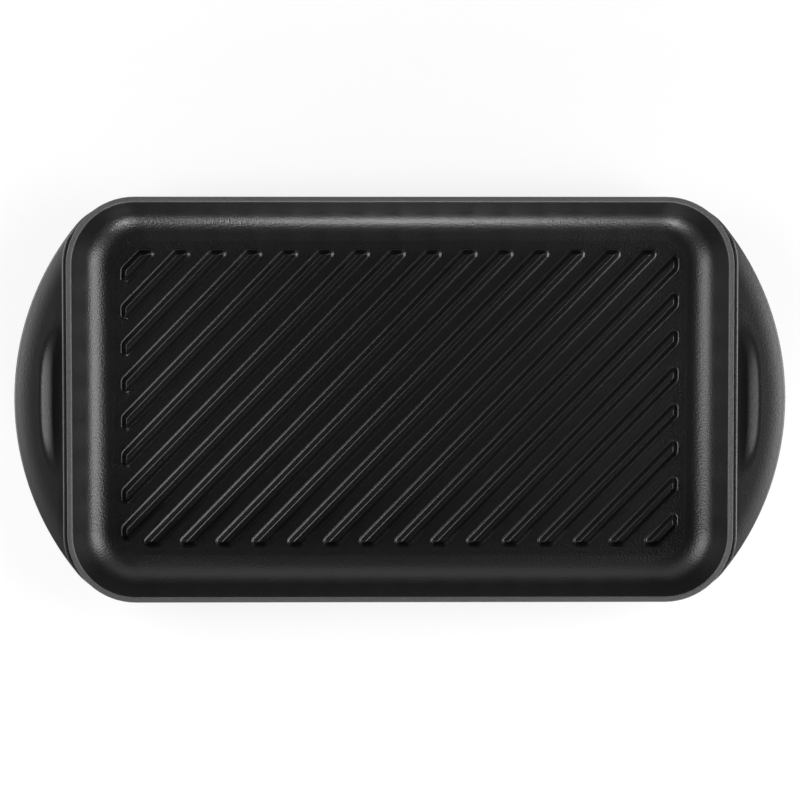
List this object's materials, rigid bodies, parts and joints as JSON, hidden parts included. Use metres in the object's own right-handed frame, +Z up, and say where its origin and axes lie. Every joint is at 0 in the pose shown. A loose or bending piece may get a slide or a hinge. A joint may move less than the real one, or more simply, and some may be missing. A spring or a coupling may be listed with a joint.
{
  "type": "grill pan",
  "caption": "Shallow rectangular cast iron grill pan with rounded corners, diagonal ribs on the floor and a curved wing handle with a thumb scoop on each short side.",
  "frame": {"origin": "on the surface the pan stands on, under the middle of the pan", "axes": "+X along the length towards the right handle, +Y across the width, +Z up out of the open top"},
  "size_m": [0.4, 0.2098, 0.03],
  "materials": {
    "floor_enamel": "satin black enamel with a fine ripple",
    "wall_enamel": "satin black enamel with a fine ripple",
    "rib_enamel": "satin black enamel, a little smoother on the crests",
    "rim_enamel": "thin grainy grey-black ground coat",
    "handle_enamel": "satin black enamel with a fine ripple"
  },
  "bodies": {
    "root": {"cooking_floor": "floor_enamel", "side_wall": "wall_enamel", "rim_band": "rim_enamel", "left_handle": "handle_enamel", "right_handle": "handle_enamel", "rib_01": "rib_enamel", "rib_02": "rib_enamel", "rib_03": "rib_enamel", "rib_04": "rib_enamel", "rib_05": "rib_enamel", "rib_06": "rib_enamel", "rib_07": "rib_enamel", "rib_08": "rib_enamel", "rib_09": "rib_enamel", "rib_10": "rib_enamel", "rib_11": "rib_enamel", "rib_12": "rib_enamel", "rib_13": "rib_enamel", "rib_14": "rib_enamel", "rib_15": "rib_enamel", "rib_16": "rib_enamel", "rib_17": "rib_enamel", "rib_18": "rib_enamel", "rib_19": "rib_enamel", "rib_20": "rib_enamel", "rib_21": "rib_enamel", "rib_22": "rib_enamel", "rib_23": "rib_enamel"}
  },
  "joints": []
}
